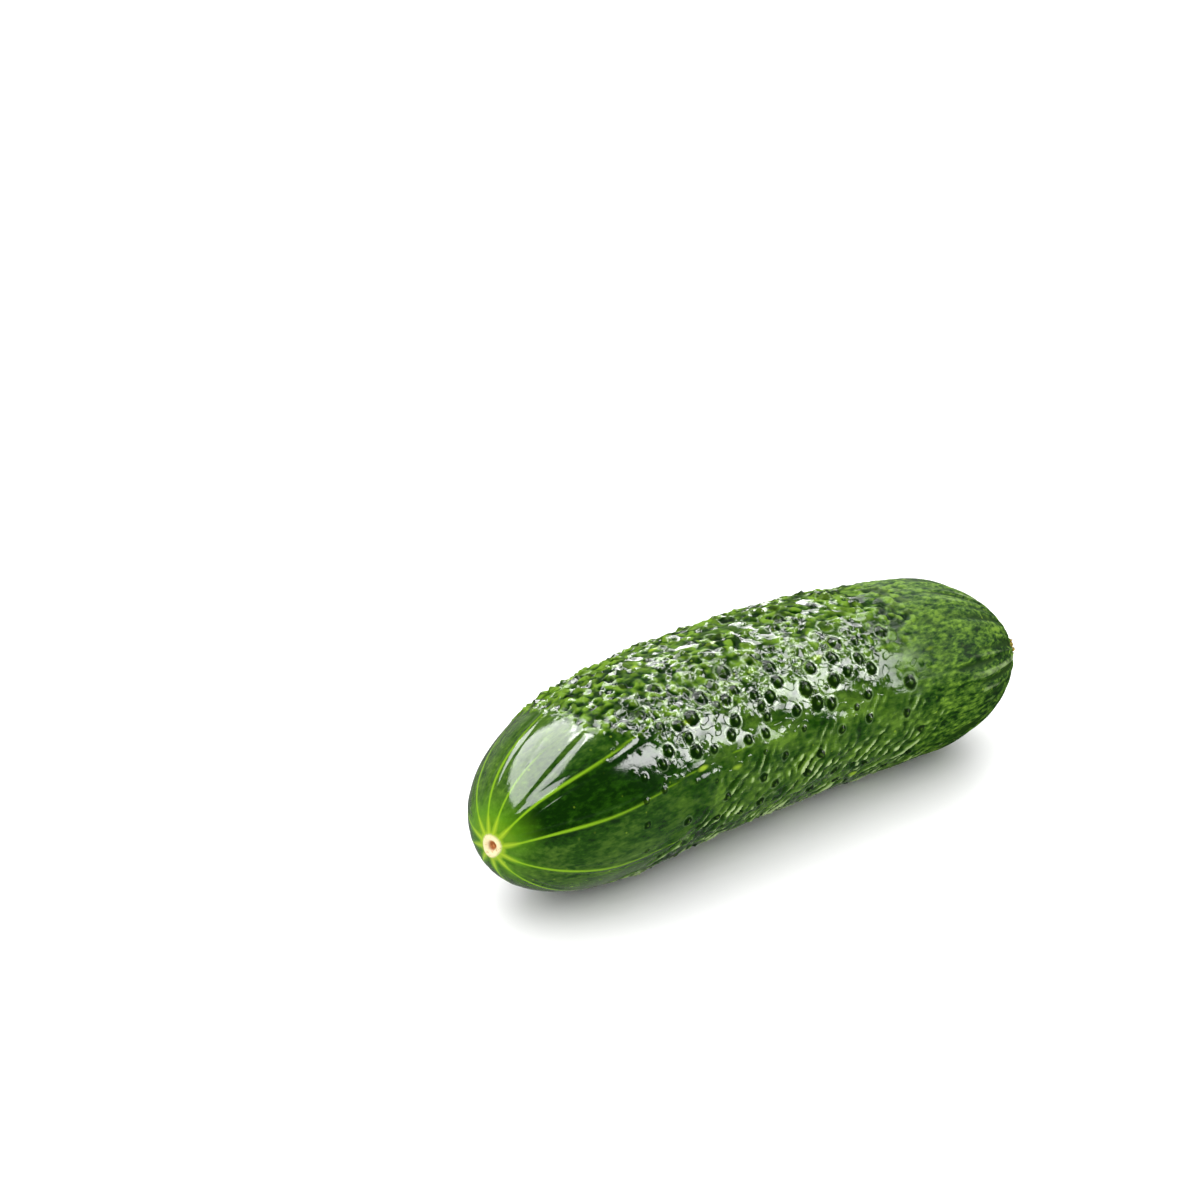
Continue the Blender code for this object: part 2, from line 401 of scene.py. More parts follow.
def wrinkleField():
    # band noises, each weighted by where on the skin it belongs; a crease is a noise folded at its zero line
    seed = wrinkles["seed"]
    onTop = smoothStep(0.35, 0.85, np.sin(aGrid + 0.25))
    lowFlank = smoothStep(-0.42, 0.18, -np.sin(aGrid + 0.10))
    patches = smoothStep(-0.9, 0.9, bandNoise(seed + 2, 12 * mm, 9 * mm))
    start = wrinkles["barrelStart"] + wrinkles["barrelLag"] * smoothStep(0.30, 0.80, -np.cos(aGrid))
    barrel = smoothStep(start, start + wrinkles["barrelSoft"], tGrid)
    barrel = barrel * (1.0 - smoothStep(*wrinkles["barrelEnd"], tGrid))
    crumple = bandNoise(seed, 2.6 * mm, 2.0 * mm, 25)
    crumple = crumple + 0.6 * np.abs(bandNoise(seed + 1, 4.2 * mm, 2.4 * mm, 20))
    steep = waveNoise(seed + 5, wrinkles["ridgeWaves"][0], 9 * mm, wrinkles["ridgeSlants"][0])
    gentle = waveNoise(seed + 8, wrinkles["ridgeWaves"][1], 12 * mm, wrinkles["ridgeSlants"][1])
    turns = smoothStep(-0.5, 0.5, bandNoise(seed + 9, 16 * mm, 12 * mm))
    slanting = steep * turns + gentle * (1.0 - turns)
    crossing = bandNoise(seed + 6, 1.8 * mm, 2.6 * mm, 30)
    swell = bandNoise(seed + 3, 26 * mm, 14 * mm)
    ripple = bandNoise(seed + 7, 9 * mm, 6 * mm)
    streak = bandNoise(seed + 4, 16 * mm, 1.8 * mm)
    ends = smoothStep(0.02, 0.10, tGrid) * (1.0 - smoothStep(0.92, 0.985, tGrid))
    calm = 0.25 + 0.75 * np.maximum(patches, 1.0 - smoothStep(0.28, 0.34, tGrid))
    total = wrinkles["crumpleHeight"] * crumple * barrel * onTop * calm
    folds = slanting * (0.30 + 0.70 * patches) + wrinkles["crossing"] * crossing
    first = wrinkles["ridgeStart"] - wrinkles["ridgeLead"] * smoothStep(0.2, 0.8, -np.sin(aGrid))
    flank = smoothStep(first, first + 0.12, tGrid) * (1.0 - smoothStep(0.72, 0.86, tGrid)) * lowFlank
    total += wrinkles["ridgeHeight"] * 0.5 * folds * flank
    total += wrinkles["swellHeight"] * swell * ends * (0.30 + 0.70 * smoothStep(0.2, 0.35, tGrid))
    total += wrinkles["rippleHeight"] * ripple * barrel
    total += wrinkles["streakHeight"] * streak * ends * smoothStep(0.20, 0.32, tGrid)
    return total, crumple * onTop * barrel * calm, folds * flank, barrel


# Greens of the panels between the stripes, from 0, almost black, to 1, light: angle and tone
panelTones = {
    5: 0.42, 28: 0.45, 58: 0.50, 84: 0.50, 112: 0.40, 140: 0.06,
    158: 0.10, 176: 0.34, 222: 0.52, 256: 0.45, 290: 0.30, 324: 0.40,
}
barrelTones = dict(
    side=0.48,
    # the top is lighter: painted light
    litTopGain=0.09,
    stemLoss=0.06,
    earlyLoss=0.12,           # darker just after the panels
    # the underside is darker: painted shade
    underShadeLoss=0.08,
    # painted shade in creases and furrows, painted highlight on crests and ridges
    creaseShadingGain=0.50,
    foldShadingGain=0.20,
    mottle=0.08,
)


def shadeField(crease, fold):
    # tone of the skin: panels at the blossom end, then a long mid-green barrel that is lighter on top, which
    # is painted light, and towards the stalk; painted shade underneath and in creases, and painted highlight
    # on crests and ridges
    angles = np.radians(sorted(panelTones))
    tones = np.array([panelTones[key] for key in sorted(panelTones)])
    wrapped = np.concatenate([angles - 2 * math.pi, angles, angles + 2 * math.pi])
    panel = np.interp(aGrid % (2 * math.pi), wrapped, np.tile(tones, 3))
    # painted light on top
    barrelTone = barrelTones["side"] + barrelTones["litTopGain"] * smoothStep(0.2, 0.9, np.sin(aGrid))
    barrelTone -= barrelTones["stemLoss"] * smoothStep(0.74, 0.90, tGrid)
    barrelTone -= barrelTones["earlyLoss"] * (1.0 - smoothStep(0.24, 0.44, tGrid))
    share = smoothStep(0.17, 0.30, tGrid)
    tone = panel * (1.0 - share) + barrelTone * share
    # painted shade underneath
    tone -= barrelTones["underShadeLoss"] * smoothStep(0.0, 0.7, -np.sin(aGrid))
    tone += barrelTones["mottle"] * bandNoise(51, 12 * mm, 9 * mm) * (0.3 + 0.7 * share)
    # painted shade in creases and furrows, painted highlight on their crests
    return tone + barrelTones["creaseShadingGain"] * crease + barrelTones["foldShadingGain"] * fold


wax = dict(
    lowShine=0.79,            # shine of the lower flank, as a share of the shine on top
    dulling=0.95,             # how much of it is gone at the stem end, between these shares of the length
    dullReach=(0.66, 0.82),
    beltAngle=134.0,          # a belt that shines all over, and how far it reaches to each side, in degrees
    beltReach=(14.0, 25.0),
    beltWander=6.0,
    flankReach=40.0,          # past this many degrees below the belt
    flankWax=0.60,            # this share of the skin between the knobs is waxed too
)


def glossField():
    # how smooth the wax is: most above, less on the lower flank and at the stem end
    onTop = smoothStep(-0.15, 0.55, np.sin(aGrid))
    shine = wax["lowShine"] + (1.0 - wax["lowShine"]) * onTop
    return shine * (1.0 - wax["dulling"] * smoothStep(*wax["dullReach"], tGrid))


def plainField(barrel):
    # where only knobs, pimples and wart rims carry wax: the barrel, except the shining belt
    aside = np.degrees(angleGap(aGrid, math.radians(wax["beltAngle"])))
    aside = aside + wax["beltWander"] * bandNoise(52, 9 * mm, 7 * mm)
    onBelt = 1.0 - smoothStep(*wax["beltReach"], np.abs(aside))
    flank = smoothStep(0.0, wax["flankReach"], aside)
    return barrel * (1.0 - onBelt) * (1.0 - wax["flankWax"] * flank)


# The two scars: heights and colours by distance from the fruit's axis
blossomScar = dict(
    ringRadius=0.0024,
    ringHeight=0.00032,
    ringWidth=0.0008,
    pitRadius=0.00115,
    pitDepth=0.00075,
    lumps=0.10,
)
stalkScar = dict(
    radius=0.0027,
    height=0.00165,
    lumps=0.16,
    ribHeight=0.00016,        # ribs that run into the stalk scar
    ribWidth=0.0038,
)


def scarFields():
    # blossom: a raised bell-shaped ring with a pit inside; stalk: a lumpy flat-topped stub
    lumps = bandNoise(41, 1.2 * mm, 9 * mm)
    wobble = 1.0 + 0.10 * np.sin(2 * aGrid + 0.6) + 0.05 * np.sin(3 * aGrid + 2.0)
    radius = roundGrid * wobble
    atBlossom = tGrid < 0.25
    atStem = tGrid > 0.75
    ring = np.exp(-((radius - 0.72 * blossomScar["ringRadius"]) / blossomScar["ringWidth"]) ** 2)
    pit = np.exp(-(radius / blossomScar["pitRadius"]) ** 4)
    height = np.where(atBlossom, ring * blossomScar["ringHeight"] * (1 + blossomScar["lumps"] * lumps)
                      - pit * blossomScar["pitDepth"], 0.0)
    outerEdge = smoothStep(0.82 * blossomScar["ringRadius"], 1.08 * blossomScar["ringRadius"], radius)
    cream = np.where(atBlossom, 1.0 - outerEdge, 0.0)
    pitColour = np.where(atBlossom, pit, 0.0)
    stub = 1.0 - smoothStep(0.70 * stalkScar["radius"], 1.05 * stalkScar["radius"], radius)
    lumpy = 1.0 + stalkScar["lumps"] * lumps * smoothStep(0.0004, 0.0022, radius)
    height += np.where(atStem, stub * stalkScar["height"] * lumpy, 0.0)
    cork = np.where(atStem, stub, 0.0)
    ribs = bandNoise(61, 70 * mm, stalkScar["ribWidth"], spread=0.45)
    ribs = ribs + 0.4 * bandNoise(62, 20 * mm, 2.6 * mm)
    near = smoothStep(0.76, 0.92, tGrid) * (1.0 - stub)
    height += stalkScar["ribHeight"] * ribs * near * np.minimum(1.0, roundGrid / 0.010)
    # the ribs also feed the skin colour: painted highlight on their crests, painted shade in their furrows
    return height, cream, pitColour, cork, np.minimum(0.70 * ribs - 0.25, 0.9) * near


def buildSkinPoints():
    pale, glow, stripeRelief = stripeField()
    spots = scatterWarts()
    wartHeight, wartPlace, wartMask, wartRimHighlight = wartField(spots)
    print("warts:", len(spots))
    wrinkle, crease, fold, rugged = wrinkleField()
    scarHeight, cream, pit, cork, rib = scarFields()
    bare = bareSkin(tGrid, aGrid)
    outward = outwardOf(bare)
    relief = stripeRelief + wartHeight + wrinkle + scarHeight
    points = bare + outward * relief[..., None]
    points[..., 2] = np.maximum(points[..., 2] - fruit["restingDepth"], 0.0)
    marks = dict(
        pale=pale, glow=glow, cream=cream, pit=pit, cork=cork, rib=rib, fold=fold, rugged=rugged,
        shade=shadeField(crease, fold), gloss=glossField(), plain=plainField(rugged),
        wartMask=wartMask, wartRimHighlight=wartRimHighlight)
    corners = bare.reshape(-1, 3)
    middle = (corners.min(axis=0) + corners.max(axis=0)) / 2
    return points, marks, wartPlace, middle


def gridFaces(rows, columns):
    # quads between neighbouring rings, and a fan of triangles to each pole; the poles are the first and the
    # last vertex
    row = np.arange(rows - 1)[:, None]
    column = np.arange(columns)[None, :]
    after = (column + 1) % columns
    here = 1 + row * columns
    above = here + columns
    quads = np.stack([here + column, here + after, above + after, above + column], axis=-1)
    firstRing = 1 + np.arange(columns)
    lastRing = 1 + (rows - 1) * columns + np.arange(columns)
    lastPole = 1 + rows * columns
    firstFan = np.stack([np.zeros(columns, int), np.roll(firstRing, -1), firstRing], axis=-1)
    lastFan = np.stack([lastRing, np.roll(lastRing, -1), np.full(columns, lastPole)], axis=-1)
    return quads.reshape(-1, 4), firstFan, lastFan


def unrolledMap(rows, columns, margin=0.02):
    # the unrolled skin: its width is one turn round the fruit, its height the way from pole to pole
    across = margin + (1 - 2 * margin) * np.arange(columns + 1) / columns
    up = margin + (1 - 2 * margin) * np.arange(rows + 2) / (rows + 1)
    row = np.arange(rows - 1)[:, None] + 1
    column = np.arange(columns)[None, :]
    quads = np.stack([
        np.stack(np.broadcast_arrays(across[column], up[row]), axis=-1),
        np.stack(np.broadcast_arrays(across[column + 1], up[row]), axis=-1),
        np.stack(np.broadcast_arrays(across[column + 1], up[row + 1]), axis=-1),
        np.stack(np.broadcast_arrays(across[column], up[row + 1]), axis=-1)], axis=2)
    i = np.arange(columns)
    middle = 0.5 * (across[i] + across[i + 1])
    ones = np.ones(columns)
    firstFan = np.stack([
        np.stack([middle, up[0] * ones], -1),
        np.stack([across[i + 1], up[1] * ones], -1),
        np.stack([across[i], up[1] * ones], -1)], axis=1)
    lastFan = np.stack([
        np.stack([across[i], up[rows] * ones], -1),
        np.stack([across[i + 1], up[rows] * ones], -1),
        np.stack([middle, up[rows + 1] * ones], -1)], axis=1)
    return np.concatenate([quads.reshape(-1, 2), firstFan.reshape(-1, 2), lastFan.reshape(-1, 2)])


def withPoles(field, first, last):
    # the grid's values as one row, with the two poles' values before and after
    flat = field.reshape((-1,) + field.shape[2:])
    return np.concatenate([[first], flat, [last]])


def makeSkin():
    points, marks, wartPlace, middle = buildSkinPoints()
    allPoints = withPoles(points, points[0].mean(axis=0), points[-1].mean(axis=0))
    cadMiddle = (np.array(cadLow) + np.array(cadHigh)) / 2
    allPoints[:, :2] += cadMiddle[:2] - middle[:2]
    allPoints[:, 0] += fruit["stalkOffset"]
    allPoints[:, 2] += cadLow.z
    quads, firstFan, lastFan = gridFaces(fruit["along"], fruit["around"])
    faces = quads.tolist() + firstFan.tolist() + lastFan.tolist()
    mesh = bpy.data.meshes.new("cucumber_skin")
    mesh.from_pydata(allPoints, [], faces)
    unrolled = mesh.uv_layers.new(name="OFBake")
    unrolled.uv.foreach_set("vector", unrolledMap(fruit["along"], fruit["around"]).ravel())
    for name, field in marks.items():
        attribute = mesh.attributes.new(name, "FLOAT", "POINT")
        attribute.data.foreach_set("value", withPoles(field, field[0].mean(), field[-1].mean()).ravel())
    attribute = mesh.attributes.new("wartPlace", "FLOAT_VECTOR", "POINT")
    attribute.data.foreach_set("vector", withPoles(wartPlace, np.zeros(3), np.zeros(3)).ravel())
    mesh.shade_smooth()
    mesh.update()
    skin = bpy.data.objects.new("cucumber_skin", mesh)
    bpy.context.scene.collection.objects.link(skin)
    print("skin:", len(mesh.vertices), "points,", 2 * len(quads) + 2 * len(firstFan), "triangles")
    return skin


class Wire:
    # a node's output; arithmetic on it adds Math nodes
    def __init__(self, board, socket):
        self.board = board
        self.socket = socket

    def math(self, operation, *others):
        return self.board.node("ShaderNodeMath", dict(operation=operation), [self, *others])

    def __add__(self, other):
        return self.math("ADD", other)

    __radd__ = __add__

    def __mul__(self, other):
        return self.math("MULTIPLY", other)

    __rmul__ = __mul__

    def __sub__(self, other):
        return self.math("SUBTRACT", other)

    def __rsub__(self, other):
        return self.board.node("ShaderNodeMath", dict(operation="SUBTRACT"), [other, self])


class Board:
    # the node tree of a new material or world
    def __init__(self, owner):
        owner.use_nodes = True
        self.owner = owner
        self.tree = owner.node_tree
        self.shader = self.tree.nodes.get("Principled BSDF")

    def node(self, kind, settings=None, values=(), output=0):
        # makes any node: settings first, then each socket's value or link; a list fills sockets in order
        made = self.tree.nodes.new(kind)
        for key, value in (settings or {}).items():
            setattr(made, key, value)
        pairs = values.items() if isinstance(values, dict) else enumerate(values)
        for key, value in pairs:
            self.plug(made.inputs[key], value)
        return Wire(self, made.outputs[output])

    def plug(self, socket, value):
        if isinstance(value, Wire):
            self.tree.links.new(value.socket, socket)
        else:
            socket.default_value = value

    def attribute(self, name, output="Fac"):
        return self.node("ShaderNodeAttribute", dict(attribute_name=name), output=output)

    def between(self, value, low, high):
        # 0 below low, 1 above high, smooth between
        return self.node("ShaderNodeMapRange", dict(interpolation_type="SMOOTHSTEP"),
                         {"Value": value, "From Min": low, "From Max": high})

    def mix(self, share, first, second):
        # from the first colour, at share 0, to the second, at share 1
        return self.node("ShaderNodeMix", dict(data_type="RGBA"), {0: share, 6: first, 7: second}, output=2)

    def noise(self, coordinates, scale, detail=2.0, roughness=0.5):
        return self.node("ShaderNodeTexNoise", None,
                         {"Vector": coordinates, "Scale": scale, "Detail": detail, "Roughness": roughness})

    def cells(self, coordinates, scale, output="Distance"):
        # a cell pattern: the distance from the nearest cell's middle, or that cell's own random colour
        values = {"Vector": coordinates, "Scale": scale}
        return self.node("ShaderNodeTexVoronoi", None, values, output=output)

    def pick(self, coordinates, scale, output=0):
        # one random number for each of the cells
        colour = self.cells(coordinates, scale, "Color")
        return self.node("ShaderNodeSeparateColor", None, [colour], output=output)

    def part(self, vector, index):
        # one coordinate of a vector: 0 is X, 1 is Y and 2 is Z
        return self.node("ShaderNodeSeparateXYZ", None, [vector], output=index)

    def stretched(self, coordinates, scale):
        return self.node("ShaderNodeMapping", None, {"Vector": coordinates, "Scale": scale})

    def towards(self, direction, aim):
        # cosine of the angle between a direction and a fixed one
        return self.node("ShaderNodeVectorMath", dict(operation="DOT_PRODUCT"),
                         {0: direction, 1: tuple(aim)}, output="Value")


skinFinish = dict(
    deepGreen=(0.0030, 0.020, 0.0008, 1),    # the darkest panels between stripes, and the painted shade in gaps of the rough skin
    darkGreen=(0.0110, 0.050, 0.0016, 1),
    midGreen=(0.0400, 0.098, 0.0080, 1),
    lightGreen=(0.0860, 0.178, 0.0150, 1),
    brightGreen=(0.1450, 0.268, 0.0240, 1),
    # painted shade in the furrows of the lower flank and between the stalk's ribs
    furrowShade=(0.0100, 0.036, 0.0014, 1),
    # painted highlight on the ridges of the lower flank and the stalk's ribs
    ridgeHighlight=(0.4200, 0.550, 0.2500, 1),
    stripeGreen=(0.19, 0.37, 0.010, 1),
    haloGreen=(0.12, 0.32, 0.008, 1),
    haloYellow=(0.40, 0.50, 0.03, 1),
    fleckGreen=(0.30, 0.46, 0.03, 1),
    cream=(0.74, 0.64, 0.38, 1),
    creamFleck=(0.46, 0.28, 0.09, 1),
    pitBrown=(0.52, 0.19, 0.05, 1),
    pitDark=(0.28, 0.08, 0.015, 1),
    cork=(0.50, 0.36, 0.06, 1),
    corkDark=(0.10, 0.07, 0.015, 1),
    # painted shade over each wart's dome and foot
    wartShade=(0.0022, 0.012, 0.0006, 1),
    wartTip=(0.075, 0.17, 0.012, 1),
    # painted highlight in a ring round each wart
    wartRingHighlight=(0.40, 0.53, 0.29, 1),
    patchTone=0.28,           # how far each pattern moves the skin along the greens above
    mottleTone=0.55,
    freckleTone=0.7,
    stemFreckleTone=1.5,
    stemReach=(0.094, 0.114),  # metres from the blossom end over which the stem end's freckles set in
    furrowShadeShare=0.92,         # how much of each colour covers what is under it
    ridgeHighlightShare=0.80,
    fleckShare=0.85,
    fleckReach=(0.018, 0.026),
    speckShare=0.35,
    wartRingHighlightShare=0.60,
    wartFootShadeShare=0.95,
    wartTipShare=0.50,
    roughness=0.085,
    mottleRoughness=0.06,
    scarRoughness=0.40,
    dullness=0.50,            # roughness added where the wax is worn
    waxIor=1.30,
    dullIor=1.0,              # reflects nothing
    wartTipHeight=0.00012,    # heights of the bump, in metres
    pimpleHeight=0.00056,
    pimpleLoss=0.22,          # pimples are fewer on the blossom end, up to these distances from it
    pimpleReach=(0.026, 0.052),
    crinkleHeight=0.00012,
    knobHeight=0.00011,
    knobShare=(0.585, 0.650),  # knobs stand where their noise is above this
    freckleHeight=0.00018,
    grainHeight=0.000012,
)

# Where each green starts to show and where it is full, along the tone
greenSteps = [
    ("darkGreen", 0.05, 0.30),
    ("midGreen", 0.25, 0.50),
    ("lightGreen", 0.46, 0.74),
    ("brightGreen", 0.72, 0.95),
]

# Patterns of the skin, in cells or waves per metre
patternScale = dict(
    patches=95.0,
    clusters=150.0,
    flecks=270.0,
    pimples=440.0,
    knobs=500.0,
    mottles=520.0,
    specks=620.0,
    crinkles=620.0,
    freckles=1150.0,
    grain=1500.0,
    wax=2600.0,
)

# How dry each kind of skin is, from 0, waxed and shining, to 1, with no shine at all
dryness = dict(
    plain=0.97,               # between the knobs
    furrow=0.85,
    wartFoot=0.75,
    stem=0.85,
    stemReach=(0.084, 0.106),  # metres from the blossom end over which the stem end's dryness sets in
)


def skinMaterial():
    board = Board(bpy.data.materials.new("cucumber_skin"))
    look = skinFinish
    scale = patternScale
    place = board.node("ShaderNodeTexCoord", output="Object")
    alongPlace = board.stretched(place, (0.45, 1.0, 1.0))
    tipDistance = board.part(place, 0) - (cadLow.x + mm)
    up = board.part(place, 2) * (1.0 / (cadHigh.z - cadLow.z))
    stemEnd = board.between(tipDistance, *look["stemReach"])
    onTop = board.between(up, 0.50, 0.85)

    # each point's place inside its wart, in wart radii, and the wart's size
    inWart = [board.part(board.attribute("wartPlace", "Vector"), index) for index in range(3)]
    freckles = board.noise(alongPlace, scale["freckles"], 2.0, 0.6)
    fromTip = (inWart[0] * inWart[0] + inWart[1] * inWart[1]).math("SQRT") + (freckles - 0.5) * 0.50
    onWart = board.attribute("wartMask") * board.between(inWart[2], 0.10, 0.50)

    # greens: patches of about 10 mm, mottles of about 2 mm and fine freckles move the skin's tone
    patches = board.noise(place, scale["patches"], 3.0, 0.55)
    mottles = board.noise(alongPlace, scale["mottles"], 3.0, 0.6)
    tone = board.attribute("shade") + (patches - 0.5) * look["patchTone"]
    tone = tone + (mottles - 0.5) * look["mottleTone"]
    tone = tone + (freckles - 0.5) * (look["freckleTone"] + look["stemFreckleTone"] * stemEnd)
    colour = look["deepGreen"]
    for green, low, high in greenSteps:
        colour = board.mix(board.between(tone, low, high), colour, look[green])

    # the lower flank's ridges are pale with painted highlight and dull, its furrows dark with painted shade;
    # the stalk's ribs are painted the same way
    fold = board.attribute("fold")
    rib = board.attribute("rib")
    relief = (fold.math("ABSOLUTE") + rib.math("ABSOLUTE")).math("MINIMUM", 1.0)
    fold = fold + rib + (mottles - 0.5) * 1.6 * relief
    ridge = board.between(fold, 0.4, 1.7)
    furrow = board.between(0.0 - fold, 0.2, 1.3)
    colour = board.mix(furrow * look["furrowShadeShare"], colour, look["furrowShade"])
    colour = board.mix(ridge * look["ridgeHighlightShare"], colour, look["ridgeHighlight"])

    # painted shade in the gaps between the cells of the upper side
    rugged = board.attribute("rugged") * (0.25 + 0.75 * onTop)
    clusters = board.between(board.noise(place, scale["clusters"], 1.0, 0.5), 0.42, 0.58)
    pimpleCell = board.cells(place, scale["pimples"])
    gaps = board.between(pimpleCell, 0.40, 0.70) * rugged * onTop
    colour = board.mix(gaps * (0.45 + 0.50 * clusters), colour, look["deepGreen"])

    # stripes and the halo round the blossom scar
    pale = board.attribute("pale")
    glow = board.attribute("glow")
    colour = board.mix(glow * (0.50 + 0.50 * mottles), colour, look["haloGreen"])
    colour = board.mix(board.between(pale, 0.10, 0.90), colour, look["stripeGreen"])
    colour = board.mix(board.between(glow, 0.60, 1.0) * 0.45, colour, look["haloYellow"])

    # flecks drawn out along the fruit, in a few of the cells of a cell pattern
    fleckPlace = board.stretched(place, (0.40, 1.0, 1.0))
    fleckCell = board.cells(fleckPlace, scale["flecks"])
    fleckPick = board.pick(fleckPlace, scale["flecks"]) * board.between(tipDistance, *look["fleckReach"])
    fleck = (1.0 - board.between(fleckCell, 0.06, 0.22)) * board.between(fleckPick, 0.78, 0.86)
    speckCell = board.cells(place, scale["specks"])
    speckPick = board.pick(place, scale["specks"])
    speck = (1.0 - board.between(speckCell, 0.10, 0.24)) * board.between(speckPick, 0.80, 0.90)
    colour = board.mix(fleck * look["fleckShare"], colour, look["fleckGreen"])
    colour = board.mix(speck * clusters * look["speckShare"], colour, look["fleckGreen"])

    # warts: a pale ring of painted highlight outside, painted shade over the wart down to its foot, a paler
    # tip
    ring = board.between(fromTip, 1.00, 1.14) * (1.0 - board.between(fromTip, 1.20, 1.45))
    ring = ring * board.attribute("wartRimHighlight")
    colour = board.mix(ring * look["wartRingHighlightShare"], colour, look["wartRingHighlight"])
    foot = (1.0 - board.between(fromTip, 0.80, 1.10)) * onWart
    colour = board.mix(foot * look["wartFootShadeShare"], colour, look["wartShade"])
    tip = (1.0 - board.between(fromTip, 0.10, 0.45)) * onWart
    colour = board.mix(tip * look["wartTipShare"], colour, look["wartTip"])

    # the scars
    grain = board.noise(place, scale["grain"], 3.0, 0.6)
    cork = board.attribute("cork")
    corkColour = board.mix(board.between(grain, 0.40, 0.62), look["corkDark"], look["cork"])
    colour = board.mix(board.between(cork, 0.2, 0.7), colour, corkColour)
    creamColour = board.mix(board.between(grain, 0.54, 0.68) * 0.7, look["cream"], look["creamFleck"])
    colour = board.mix(board.attribute("cream"), colour, creamColour)
    pit = board.attribute("pit")
    pitColour = board.mix(board.between(grain, 0.42, 0.60), look["pitDark"], look["pitBrown"])
    colour = board.mix(board.between(pit, 0.25, 0.85), colour, pitColour)
    board.plug(board.shader.inputs["Base Color"], colour)

    # fine relief: rounded wart tips, pimples in some cells of a cell pattern, fewer near the blossom end,
    # short crinkles, low knobs, a waxy grain, and freckles at the stem end
    nipple = (1.0 - board.between(fromTip, 0.0, 0.9)) * onWart
    pimplePick = board.pick(place, scale["pimples"], output=1)
    pimplePick = pimplePick - look["pimpleLoss"] * (1.0 - board.between(tipDistance, *look["pimpleReach"]))
    pimple = (1.0 - board.between(pimpleCell, 0.0, 0.44)) * board.between(pimplePick, 0.42, 0.66)
    pimple = pimple * (0.15 + 0.85 * clusters)
    crinkle = board.noise(board.stretched(place, (0.7, 1.0, 1.0)), scale["crinkles"], 1.0, 0.4)
    knobs = board.noise(board.stretched(place, (0.75, 1.0, 1.0)), scale["knobs"], 0.6, 0.4) + 0.09 * clusters
    knobs = board.between(knobs, *look["knobShare"])
    waxGrain = board.noise(place, scale["wax"], 2.0, 0.5)
    height = nipple * look["wartTipHeight"] + pimple * look["pimpleHeight"] * rugged
    height = height + (crinkle * look["crinkleHeight"] + knobs * look["knobHeight"]) * rugged
    height = height + waxGrain * look["grainHeight"]
    height = height + freckles * stemEnd * look["freckleHeight"]
    bump = board.node("ShaderNodeBump", None, {"Strength": 1.0, "Distance": 1.0, "Height": height})
    board.plug(board.shader.inputs["Normal"], bump)

    rough = look["roughness"] + look["mottleRoughness"] * (mottles - 0.5)
    rough = rough + look["dullness"] * (1.0 - board.attribute("gloss"))
    rough = rough + look["scarRoughness"] * board.between(board.attribute("cream") + cork, 0.1, 0.9)
    board.plug(board.shader.inputs["Roughness"], rough)
    board.shader.inputs["IOR"].default_value = look["waxIor"]

    # the skin hardly shines where it carries little wax: between knobs, pimples and wart rims, in furrows,
    # round the warts' feet and at the stem end
    raised = knobs.math("MAXIMUM", board.between(pimple, 0.04, 0.26))
    raised = raised.math("MAXIMUM", board.between(ring, 0.1, 0.6))
    dry = board.attribute("plain") * (1.0 - raised) * dryness["plain"]
    dry = dry.math("MAXIMUM", furrow * dryness["furrow"])
    dry = dry.math("MAXIMUM", foot * (1.0 - tip) * dryness["wartFoot"])
    dry = dry.math("MAXIMUM", board.between(tipDistance, *dryness["stemReach"]) * dryness["stem"])
    dull = board.node("ShaderNodeBsdfPrincipled", None,
                      {"Base Color": colour, "Roughness": rough, "IOR": look["dullIor"], "Normal": bump})
    waxed = Wire(board, board.shader.outputs[0])
    mixed = board.node("ShaderNodeMixShader", None, [dry, waxed, dull])
    board.plug(board.tree.nodes["Material Output"].inputs["Surface"], mixed)
    return board.owner


skin = makeSkin()
skin.data.materials.append(skinMaterial())
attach(skin, "root")
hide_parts("cucumber")
print("skin finished")

studio = dict(
    floorRadius=7.0,
    floorSides=96,
    floorWhite=0.90,
    floorMottle=0.985,        # its darker specks, as a share of its white
    floorGrain=300.0,
    floorRoughness=0.6,
    floorSpecular=0.2,
    dome=1.08,                # brightness of the white room that gives the soft light
    domeTilt=0.90,            # how much brighter it is towards the overhead softbox than away from it
    backdrop=0.55,            # what shines back in the skin: a pale backdrop low behind the fruit
    backdropSoft=(0.12, 0.50),
    gloom=0.04,               # the rest of the room
    below=0.28,               # and the floor, as the gloss sees it
    glow=0.3,                 # a soft glow round the overhead panel, seen in the gloss too
    glowReach=(0.45, 0.92),
)

# Soft boxes, which show only in the skin's gloss. The overhead one fills the broad sheen of the blossom end,
# the side one the bright strip along the fruit; the others are smaller glints above. Heading is the compass
# direction from the camera's own and height the angle above the floor, in degrees, as is the turn in the
# panel's plane; distance and size are in metres.
softBoxes = dict(
    overhead=dict(heading=-84.0, height=66.0, distance=8.0, size=(12.0, 6.4), turn=0.0, brightness=20.0),
    top=dict(heading=8.0, height=68.0, distance=8.0, size=(2.3, 2.7), turn=0.0, brightness=42.0),
    side=dict(heading=94.0, height=27.0, distance=8.0, size=(2.9, 6.2), turn=12.0, brightness=31.0),
    edge=dict(heading=66.0, height=50.0, distance=8.0, size=(1.6, 1.8), turn=0.0, brightness=30.0),
    crown=dict(heading=10.0, height=31.0, distance=8.0, size=(6.6, 7.2), turn=0.0, brightness=12.0),
)

shot = dict(
    elevation=25.18,          # how steeply the camera looks down
    turn=38.66,               # its heading, from +Y towards +X
    distance=0.5891,
    aimRight=0.0493,          # how far, as a tangent, the fruit's middle stands right of the view's centre
    aimUp=-0.0431,
    aim=(-0.0002, 0.0007, 0.0193),
    lens=85.0,
    sensor=36.0,
    nearest=0.01,             # nothing nearer than this is drawn
)


